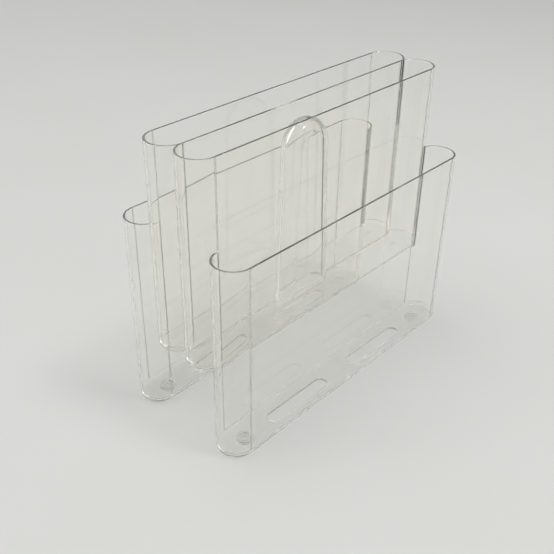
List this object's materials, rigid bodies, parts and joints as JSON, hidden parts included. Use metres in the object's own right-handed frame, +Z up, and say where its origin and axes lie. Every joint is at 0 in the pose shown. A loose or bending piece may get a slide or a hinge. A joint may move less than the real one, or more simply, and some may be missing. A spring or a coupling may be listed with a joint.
{
  "type": "magazine rack",
  "caption": "Free-standing clear plastic magazine rack: low and raised upright pockets with half-round ends, a tunnel below and a hollow arched core.",
  "frame": {"origin": "middle of the footprint, on the surface that the rack stands on", "axes": "+X along the pockets, towards their right ends seen from the front; -Y is the front; +Z is up"},
  "size_m": [0.4026, 0.1808, 0.3485],
  "materials": {
    "clear_plastic": "polished, colourless and clear, slightly greyed with age",
    "foot_pad": "soft clear plastic, lightly frosted underneath"
  },
  "bodies": {
    "root": {"front_wall": "clear_plastic", "front_divider": "clear_plastic", "centre_divider": "clear_plastic", "rear_divider": "clear_plastic", "rear_wall": "clear_plastic", "centre_core": "clear_plastic", "low_front_left_end": "clear_plastic", "low_front_right_end": "clear_plastic", "low_rear_left_end": "clear_plastic", "low_rear_right_end": "clear_plastic", "tall_front_left_end": "clear_plastic", "tall_front_right_end": "clear_plastic", "tall_rear_left_end": "clear_plastic", "tall_rear_right_end": "clear_plastic", "low_front_floor": "clear_plastic", "low_rear_floor": "clear_plastic", "tall_front_floor": "clear_plastic", "tall_rear_floor": "clear_plastic", "front_left_foot": "foot_pad", "front_right_foot": "foot_pad", "rear_left_foot": "foot_pad", "rear_right_foot": "foot_pad"}
  },
  "joints": []
}
